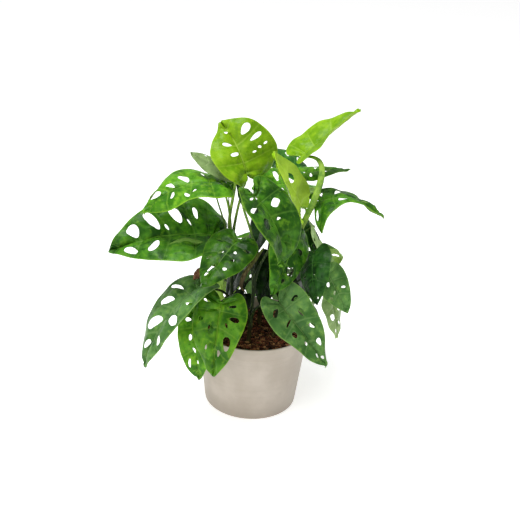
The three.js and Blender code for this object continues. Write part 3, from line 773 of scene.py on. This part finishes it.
# Each blade's tone and veins to a side, and its holes. A hole is given by its side of the midrib
# (-1 left, 1 right, looking from the stalk to the point), how far along and how far out its middle
# is, its half length each way, and how far it leans, all as shares. LEFT_TIP and RIGHT_TIP are the
# small ones near the point that most rear leaves share.
LEFT_TIP = (-1, 0.85, 0.42, 0.02, 0.2)
RIGHT_TIP = (1, 0.85, 0.42, 0.02, 0.2)
BLADE_LOOKS = {
    "top": ("lime", 6, (
        (1, 0.71, 0.58, 0.024, 0.24, 0.02), (1, 0.63, 0.63, 0.015, 0.208, -0.01),
        (1, 0.56, 0.74, 0.007, 0.064, -0.01), (1, 0.56, 0.54, 0.01, 0.048, -0.1),
        (-1, 0.79, 0.2, 0.013, 0.128, -0.02), (-1, 0.68, 0.37, 0.014, 0.184, 0.04),
        (-1, 0.59, 0.2, 0.016, 0.192, -0.04), (1, 0.55, 0.36, 0.008, 0.056, -0.05))),
    "top_left": ("pale", 6, (
        (-1, 0.57, 0.62, 0.04, 0.25, 0.04), (-1, 0.68, 0.87, 0.019, 0.14, 0.05))),
    "left_upper": ("bright", 7, (
        (1, 0.59, 0.32, 0.024, 0.24), (1, 0.68, 0.26, 0.012, 0.2, 0.03),
        (1, 0.77, 0.38, 0.034, 0.3), (-1, 0.59, 0.74, 0.013, 0.1, -0.1),
        (-1, 0.55, 0.6, 0.012, 0.06), (-1, 0.68, 0.5, 0.014, 0.16), (1, 0.46, 0.5, 0.016, 0.14))),
    "left_long": ("mid", 8, (
        (1, 0.66, 0.53, 0.02, 0.33), (1, 0.56, 0.5, 0.022, 0.24, 0.01),
        (1, 0.75, 0.52, 0.025, 0.31, -0.03), (1, 0.46, 0.53, 0.012, 0.15, 0.01),
        (1, 0.62, 0.26, 0.005, 0.09, 0.02), (1, 0.51, 0.31, 0.008, 0.08, 0.04),
        (-1, 0.68, 0.49, 0.018, 0.23, 0.03), (-1, 0.78, 0.64, 0.034, 0.17, -0.06),
        (-1, 0.57, 0.37, 0.014, 0.09, 0.03))),
    "low_left": ("grey", 7, (
        (1, 0.44, 0.62, 0.018, 0.27, 0.04), (1, 0.54, 0.47, 0.022, 0.25, 0.05),
        (1, 0.66, 0.38, 0.03, 0.3, 0.04), (-1, 0.58, 0.58, 0.022, 0.28, -0.04),
        (1, 0.77, 0.33, 0.022, 0.2, 0.01), (-1, 0.69, 0.66, 0.022, 0.16),
        (-1, 0.47, 0.7, 0.01, 0.13, -0.1))),
    "pot_left": ("bright", 6, (
        (1, 0.57, 0.31, 0.021, 0.08, -0.04), (1, 0.73, 0.62, 0.022, 0.16, 0.09),
        (-1, 0.75, 0.13, 0.013, 0.14, -0.02), (1, 0.67, 0.13, 0.013, 0.11, -0.17),
        (-1, 0.45, 0.5, 0.022, 0.16), (-1, 0.6, 0.5, 0.022, 0.16), (1, 0.42, 0.5, 0.02, 0.14))),
    "left_fold": ("mid", 6, ()),
    "sliver": ("deep", 6, ()),
    "front": ("mid", 7, (
        (1, 0.345, 0.2, 0.035, 0.12, 0.03), (-1, 0.5, 0.32, 0.03, 0.17, -0.06),
        (1, 0.44, 0.7, 0.02, 0.18, -0.04), (1, 0.36, 0.6, 0.01, 0.08, 0.01),
        (1, 0.55, 0.6, 0.034, 0.2, -0.09), (-1, 0.73, 0.38, 0.04, 0.28, 0.03),
        (-1, 0.6, 0.2, 0.012, 0.1, 0.05))),
    "front_left": ("mid", 7, (
        (1, 0.72, 0.24, 0.022, 0.18, 0.15), (1, 0.57, 0.22, 0.015, 0.1, 0.1),
        (-1, 0.58, 0.46, 0.014, 0.08, -0.06), (-1, 0.43, 0.61, 0.017, 0.15, -0.07),
        (-1, 0.67, 0.57, 0.012, 0.1, -0.07), (1, 0.78, 0.36, 0.014, 0.2),
        (1, 0.45, 0.5, 0.016, 0.16), (1, 0.63, 0.55, 0.014, 0.14), (-1, 0.52, 0.3, 0.012, 0.1))),
    "front_under": ("mid", 6, (
        (-1, 0.68, 0.4, 0.034, 0.26, -0.05), (-1, 0.77, 0.36, 0.018, 0.2),
        (1, 0.6, 0.5, 0.02, 0.16), (-1, 0.5, 0.5, 0.022, 0.18))),
    "pot_front": ("bright", 7, (
        (1, 0.71, 0.36, 0.05, 0.26, 0.05), (-1, 0.63, 0.58, 0.038, 0.19, 0.05),
        (1, 0.58, 0.26, 0.029, 0.11, -0.04), (-1, 0.47, 0.61, 0.019, 0.18, -0.01),
        (-1, 0.53, 0.37, 0.013, 0.07, 0.08), (1, 0.43, 0.26, 0.016, 0.23, 0.06),
        (-1, 0.36, 0.5, 0.014, 0.16), (1, 0.5, 0.62, 0.016, 0.1), (-1, 0.72, 0.3, 0.02, 0.12),
        (1, 0.34, 0.55, 0.012, 0.14))),
    "pot_right": ("grey", 7, (
        (1, 0.41, 0.5, 0.03, 0.17, 0.1), (-1, 0.52, 0.4, 0.031, 0.09, 0.02),
        (1, 0.54, 0.33, 0.008, 0.23, 0.02), (1, 0.61, 0.51, 0.019, 0.13, -0.01),
        (-1, 0.72, 0.58, 0.023, 0.16, -0.04), (1, 0.7, 0.36, 0.013, 0.1, -0.05),
        (-1, 0.4, 0.5, 0.02, 0.16), (-1, 0.62, 0.5, 0.016, 0.14), (1, 0.8, 0.4, 0.016, 0.16),
        (-1, 0.84, 0.4, 0.014, 0.2))),
    "right": ("deep", 6, (
        (-1, 0.64, 0.25, 0.018, 0.12, 0.18), (-1, 0.83, 0.5, 0.016, 0.2),
        (1, 0.6, 0.6, 0.012, 0.16))),
    "right_shade": ("deep", 6, (
        (1, 0.65, 0.5, 0.01, 0.3), (-1, 0.7, 0.5, 0.01, 0.3))),
    "right_pale": ("pale", 6, (
        (1, 0.74, 0.4, 0.02, 0.22), (1, 0.58, 0.5, 0.02, 0.2), (-1, 0.6, 0.5, 0.022, 0.2),
        (-1, 0.45, 0.5, 0.018, 0.2))),
    "right_low": ("grey", 6, (
        (1, 0.5, 0.32, 0.026, 0.12, 0.05), (1, 0.62, 0.26, 0.02, 0.14),
        (1, 0.63, 0.7, 0.025, 0.09, -0.07), (-1, 0.6, 0.5, 0.012, 0.16))),
    "right_lowest": ("pale", 6, (
        (1, 0.6, 0.4, 0.04, 0.26, -0.1), (1, 0.76, 0.5, 0.024, 0.2), (-1, 0.55, 0.5, 0.022, 0.22),
        (-1, 0.7, 0.5, 0.02, 0.2))),
    "right_inner": ("grey", 6, ()),
    "wing": ("mid", 6, (
        (-1, 0.34, 0.4, 0.022, 0.16), (1, 0.56, 0.48, 0.022, 0.16, 0.1),
        (1, 0.27, 0.6, 0.026, 0.16), (-1, 0.5, 0.5, 0.018, 0.2), (1, 0.7, 0.5, 0.018, 0.2))),
    "spear": ("lime", 6, ()),
    "right_point": ("bright", 6, (
        (1, 0.4, 0.5, 0.022, 0.2), (-1, 0.5, 0.5, 0.022, 0.2), (1, 0.6, 0.4, 0.018, 0.16))),
    "back_top": ("deep", 6, (
        (-1, 0.82, 0.4, 0.02, 0.24), (-1, 0.63, 0.6, 0.02, 0.14), (1, 0.6, 0.5, 0.022, 0.2),
        (1, 0.45, 0.5, 0.02, 0.2))),
    "young": ("lime", 6, (
        (-1, 0.61, 0.4, 0.045, 0.28, -0.1), (1, 0.6, 0.5, 0.02, 0.16))),
    "inner": ("bright", 6, (
        (1, 0.53, 0.48, 0.05, 0.3, -0.09), (-1, 0.55, 0.5, 0.026, 0.2), (-1, 0.4, 0.5, 0.02, 0.2))),
    # The heart leaves are painted near black by their brightness shares above, as painted shade in
    # the middle of the plant.
    **{"heart_" + place: ("deep", 6, ())
       for place in ("high", "left", "middle", "right", "low_left", "low_right")},
    "rear_top": ("bright", 6, (
        (-1, 0.3, 0.44, 0.035, 0.19), (-1, 0.51, 0.47, 0.026, 0.22), (-1, 0.68, 0.48, 0.026, 0.19),
        LEFT_TIP, (1, 0.31, 0.53, 0.027, 0.2), (1, 0.52, 0.54, 0.034, 0.21),
        (1, 0.74, 0.43, 0.038, 0.2), RIGHT_TIP)),
    "rear_upper": ("mid", 6, (
        (-1, 0.29, 0.44, 0.03, 0.25), (-1, 0.49, 0.5, 0.035, 0.21), (-1, 0.71, 0.43, 0.026, 0.2),
        LEFT_TIP, (1, 0.32, 0.48, 0.03, 0.23), (1, 0.51, 0.46, 0.037, 0.24),
        (1, 0.69, 0.49, 0.033, 0.25), RIGHT_TIP)),
    "rear_right": ("bright", 6, (
        (-1, 0.32, 0.46, 0.04, 0.19), (-1, 0.51, 0.52, 0.027, 0.22), (-1, 0.68, 0.51, 0.036, 0.23),
        LEFT_TIP, (1, 0.33, 0.46, 0.035, 0.23), (1, 0.51, 0.48, 0.038, 0.26),
        (1, 0.71, 0.51, 0.026, 0.24), RIGHT_TIP)),
    "rear_low_right": ("grey", 6, (
        (-1, 0.32, 0.55, 0.037, 0.2), (-1, 0.5, 0.51, 0.025, 0.22), (-1, 0.69, 0.44, 0.026, 0.24),
        LEFT_TIP, (1, 0.29, 0.45, 0.031, 0.25), (1, 0.48, 0.48, 0.033, 0.25),
        (1, 0.73, 0.53, 0.029, 0.21), RIGHT_TIP)),
    "rear_left": ("mid", 6, (
        (-1, 0.3, 0.53, 0.039, 0.19), (-1, 0.49, 0.45, 0.029, 0.22), (-1, 0.72, 0.45, 0.025, 0.21),
        LEFT_TIP, (1, 0.3, 0.49, 0.039, 0.24), (1, 0.51, 0.5, 0.035, 0.18),
        (1, 0.73, 0.52, 0.038, 0.24), RIGHT_TIP)),
    "rear_middle": ("deep", 6, (
        (-1, 0.3, 0.47, 0.027, 0.23), (-1, 0.48, 0.43, 0.028, 0.19), (-1, 0.7, 0.43, 0.025, 0.19),
        LEFT_TIP, (1, 0.29, 0.47, 0.025, 0.25), (1, 0.52, 0.44, 0.029, 0.21),
        (1, 0.7, 0.44, 0.038, 0.26), RIGHT_TIP)),
    "rear_low_left": ("bright", 6, (
        (-1, 0.39, 0.48, 0.026, 0.19), (-1, 0.63, 0.45, 0.037, 0.19), (-1, 0.81, 0.42, 0.02, 0.2),
        (1, 0.36, 0.54, 0.033, 0.19), (1, 0.64, 0.42, 0.033, 0.26), (1, 0.81, 0.42, 0.02, 0.2))),
}


def on_blade(name, leaf, length, side, along, out):
    """Where a place on the blade lies when the blade is flat, in mm."""
    at = min(MARGIN_STEPS - 0.001, max(0, along * MARGIN_STEPS))
    margin = MARGIN_LINE[int(at)].lerp(MARGIN_LINE[int(at) + 1], at % 1)
    start = max(margin.z, 0)
    fuller = 1 + sum(amount * exp(-((along - centre) / reach) ** 2)
                     for half, centre, reach, amount in LOBES.get(name, ()) if half in (0, side))
    x = margin.x * fuller
    return (side * x * leaf["width"] * out,
            (start + (margin.y - start) * out ** VEIN_BEND) * length)


def bent(leaf, shape, x, y, rise):
    """A flat place taken to where the grown leaf holds it, lifted by rise off the surface."""
    start, chord, face, across, length = shape
    fold = radians(leaf["folds"][0 if x < 0 else 1])
    half = leaf["width"] / 2
    out = abs(x)
    side = x * cos(fold)
    lift = out * sin(fold) - leaf["cup"] * half * (out / half) ** 2 + rise
    twist = radians(leaf["twist"]) * y / length
    side, lift = (side * cos(twist) - lift * sin(twist),
                  side * sin(twist) + lift * cos(twist))
    arc = radians(leaf["droop"] or 0.1)
    radius = length / arc
    forward = (radius + lift) * sin(y / radius)
    above = (radius + lift) * cos(y / radius) - radius
    along = forward * cos(arc / 2) - above * sin(arc / 2)
    above = forward * sin(arc / 2) + above * cos(arc / 2)
    return start + across * side + chord * along + face * above


def blade_relief(seed, width, along, out, veins):
    """The blade's own relief in mm: a channel at the midrib, sunken side veins with the blade
    puffed up between them, and a slow wave at the margin."""
    between = abs(sin(pi * along * veins))
    puff = 0.045 * width * between ** 0.7 * sin(pi * min(1, out)) ** 0.7
    channel = -1.0 * exp(-(out / 0.06) ** 2) * (1 - along)
    wave = 0.085 * width * out ** 3 * noise.noise(Vector((along * 6, seed * 3.7, out)))
    slow = 0.05 * width * out * noise.noise(Vector((along * 3.2, out * 2, seed * 1.9)))
    crinkle = 0.018 * width * noise.noise(Vector((along * 14, out * 7, seed * 2.3)))
    return puff + channel + wave + slow + crinkle


def hole_ring(side, along, out, long_half, out_half, lean=0.0):
    """A hole's outline as places on the blade, wider towards the margin."""
    places = []
    for i in range(HOLE_SIDES):
        a = 2 * pi * i / HOLE_SIDES
        u, v = cos(a), sin(a)
        places.append((side, along + long_half * v * (1 + 0.22 * u) + lean * u * out_half,
                       min(0.92, max(0.06, out + out_half * u))))
    return places


def blade_mesh(name, leaf, veins, holes, seed):
    """Upper and lower skins with a rim, and each point's vein place, distance out and skin."""
    shape = leaf_frame(leaf)
    length = shape[4]
    outline = [(1, k / OUTLINE_STEPS, 1.0) for k in range(OUTLINE_STEPS + 1)]
    outline += [(-1, k / OUTLINE_STEPS, 1.0) for k in range(OUTLINE_STEPS - 1, 0, -1)]
    rings = [outline] + [hole_ring(*hole) for hole in holes]
    places = [p for loop in rings for p in loop]
    flat_loops = [[on_blade(name, leaf, length, *p) for p in loop] for loop in rings]
    fixed = np.array([p for loop in flat_loops for p in loop])
    inside = []
    rows = max(14, round(length / MESH_STEP * 1.25))
    for i in range(1, rows):
        along = i / rows
        reach = MARGIN_LINE[round(along * MARGIN_STEPS)].x * leaf["width"]
        steps = max(2, round(reach / MESH_STEP))
        for side in (-1, 1):
            for j in range(0 if side > 0 else 1, steps):
                spot = on_blade(name, leaf, length, side, along, j / steps)
                if np.abs(fixed - spot).sum(axis=1).min() > MESH_STEP * 0.55:
                    inside.append(spot)
                    places.append((side, along, j / steps))
    triangles = cut_sheet(flat_loops, inside)
    flat = [tuple(p) for p in fixed] + inside
    middle = [bent(leaf, shape, x, y, blade_relief(seed, leaf["width"], p[1], p[2], veins))
              for (x, y), p in zip(flat, places)]
    facing = [Vector() for _ in middle]
    for a, b, c in triangles:
        normal = (middle[b] - middle[a]).cross(middle[c] - middle[a])
        for v in (a, b, c):
            facing[v] += normal
    facing = [n.normalized() for n in facing]
    count = len(middle)
    points = [(p + n * BLADE_HALF) * MM for p, n in zip(middle, facing)]
    points += [(p - n * BLADE_HALF) * MM for p, n in zip(middle, facing)]
    faces = list(triangles) + [(a + count, c + count, b + count) for a, b, c in triangles]
    edges = {(t[k], t[(k + 1) % 3]) for t in triangles for k in range(3)}
    faces += [(a, a + count, b + count, b) for a, b in sorted(edges) if (b, a) not in edges]
    growth = [(p[1], p[2], 1.0) for p in places] + [(p[1], p[2], 0.0) for p in places]
    if name in TORN:
        route = [bent(leaf, shape, *on_blade(name, leaf, length, *place), rise)
                 for place, rise in TORN[name]]
        shred, shred_faces = sheath_mesh(route, TORN_HALF, TORN_CURL)
        faces += [tuple(len(points) + v for v in f) for f in shred_faces]
        points += [p * MM for p in shred]
        growth += [(0.5, 0.5, 0.0)] * len(shred)
    return points, faces, growth


def dimmed(shade, share):
    """A colour made darker, or brighter if the share is over 1."""
    return (*[c * share for c in shade[:3]], 1)


def leaf_skin(name, tone, veins, tone_and_painted_light):
    """Waxy leaf skin: mottled green above with paler veins, matt and pale below, with painted light
    on the puffs between the side veins and painted shade in the valleys beside them. The
    brightness share is how bright this leaf is beside the rest of its tone, partly its own tone
    and partly painted light and shade."""
    upper, shade, glow, under, vein = (dimmed(colour(c), tone_and_painted_light) for c in TONES[tone])
    made, tree, shader, place = finish_of(name)
    growth = node(tree, "Attribute", attribute_name="growth").outputs["Vector"]
    along, out, skin_side = node(tree, "SeparateXYZ", {0: growth}).outputs[:3]
    off_vein = sums(tree, "PINGPONG", times(tree, along, float(veins)), 0.5)
    thick = sums(tree, "SUBTRACT", 0.085, times(tree, out, 0.045))
    side_vein = sums(tree, "SUBTRACT", 1.0, spread(tree, off_vein, 0.0, thick), clamp=True)
    midrib = sums(tree, "SUBTRACT", 1.0, spread(tree, out, 0.010, 0.034), clamp=True)
    fade = sums(tree, "SUBTRACT", 0.5, times(tree, out, 0.3))
    veiny = sums(tree, "MAXIMUM", times(tree, side_vein, fade), times(tree, midrib, 0.85))
    patches = cloud(tree, place, 42, 3, 0.6)
    mottle = cloud(tree, place, 170, 5, 0.62)
    grain = cloud(tree, place, 1900, 3)
    # Between the side veins and away from the midrib the puffed blade is yellower and lighter,
    # partly its own colour and partly painted light on the puffs; beside the side veins it is
    # darker, painted shade in the sunken vein valleys.
    yellow_and_lit_pad = times(tree, spread(tree, off_vein, 0.12, 0.45), spread(tree, out, 0.15, 0.7))
    base = dye(tree, spread(tree, patches, 0.42, 0.56), shade, upper)
    base = tint(tree, yellow_and_lit_pad, base, 0.35, upper)
    base = tint(tree, spread(tree, mottle, 0.5, 0.68), base, 0.5, glow)
    base = tint(tree, spread(tree, mottle, 0.48, 0.32), base, 0.7, shade)
    # Painted shade: darker beside the side veins, in the sunken vein valleys.
    base = tint(tree, spread(tree, off_vein, 0.24, 0.06), base, 0.4, shade)
    base = tint(tree, spread(tree, out, 0.95, 1.0), base, 0.7, glow)
    base = dye(tree, veiny, base, vein)
    below = dye(tree, spread(tree, mottle, 0.35, 0.7), under, dye(tree, 0.35, under, shade))
    below = dye(tree, veiny, below, vein)
    base = dye(tree, skin_side, below, base)
    gloss = dye(tree, skin_side, (0.52, 0.52, 0.52, 1), (0.31, 0.31, 0.31, 1))
    uneven = times(tree, sums(tree, "SUBTRACT", mottle, 0.5), 0.3)
    rough = plus(tree, gloss, uneven)
    relief = plus(tree, times(tree, veiny, -0.6), times(tree, grain, 0.16))
    relief = plus(tree, relief, times(tree, mottle, 0.8))
    dress(tree, shader, base, rough, relief, 0.0006)
    shader.inputs["Specular IOR Level"].default_value = LEAF_SHINE
    return made


# One finish for all leaves of the same tone, veins and brightness.
leaf_skins = {}
for seed, (place, (tone, veins, holes)) in enumerate(BLADE_LOOKS.items()):
    leaf_name = "leaf_" + place
    leaf = LEAVES[leaf_name]
    tone_and_painted_light = TONE_AND_PAINTED_LIGHT.get(place, 1.0)
    key = f"leaf_{tone}_{veins}_{round(tone_and_painted_light * 100)}"
    if key not in leaf_skins:
        leaf_skins[key] = leaf_skin(key, tone, veins, tone_and_painted_light)
    blade_points, blade_faces, growth = blade_mesh(leaf_name, leaf, veins, holes, seed)
    blade = mesh_piece("blade_" + place, blade_points, blade_faces, leaf_skins[key], crease=55)
    mark(blade, "growth", [v for g in growth for v in g], "FLOAT_VECTOR", "vector")
    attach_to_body(blade, "root")
    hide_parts(leaf_name)

# ---- the floor and the light ----
# A wide white floor that the pot stands on, under a large soft light overhead, a weaker one from
# the front left and an even white surround.
FLOOR_REACH = 6.0
PAPER_WHITE = "#f7f7f7"
PAPER_BRIGHT = "#fbfbfb"
PAPER_GLOW = 0.55
SURROUND_LIGHT = 0.42
OVERHEAD_POWER = 18
FRONT_POWER = 8
WHITE = (1, 1, 1, 1)
floor_rows = [FLOOR_REACH * (k / 12) ** 2 for k in range(13)]
floor_points, floor_faces = turned([(max(r, 1e-4), -0.0002) for r in floor_rows], 48)
floor_finish, floor_tree, floor_shader, floor_place = finish_of("floor_paper")
paper = cloud(floor_tree, floor_place, 40)
dress(floor_tree, floor_shader,
      dye(floor_tree, paper, colour(PAPER_WHITE), colour(PAPER_BRIGHT)),
      plus(floor_tree, times(floor_tree, paper, 0.1), 0.7), paper, 0.00002)
floor_shader.inputs["Emission Color"].default_value = WHITE
floor_shader.inputs["Emission Strength"].default_value = PAPER_GLOW
floor = mesh_piece("floor", floor_points, floor_faces, floor_finish)

surround = bpy.data.worlds.new("surround")
surround.use_nodes = True
surround.node_tree.nodes["Background"].inputs[0].default_value = WHITE
surround.node_tree.nodes["Background"].inputs[1].default_value = SURROUND_LIGHT
bpy.context.scene.world = surround


def soft_light(name, place, target, size, power):
    """A square lamp that shines from a place towards a target."""
    lamp = bpy.data.lights.new(name, "AREA")
    lamp.size = size
    lamp.energy = power
    made = bpy.data.objects.new(name, lamp)
    made.location = place
    made.rotation_euler = (Vector(target) - Vector(place)).to_track_quat("-Z", "Y").to_euler()
    bpy.context.scene.collection.objects.link(made)


soft_light("overhead", (-0.25, -0.1, 1.5), (0, 0, 0.1), 0.7, OVERHEAD_POWER)
soft_light("front", (-0.9, -1.3, 0.9), (0, 0, 0.15), 0.9, FRONT_POWER)
bpy.context.scene.view_settings.view_transform = "Standard"
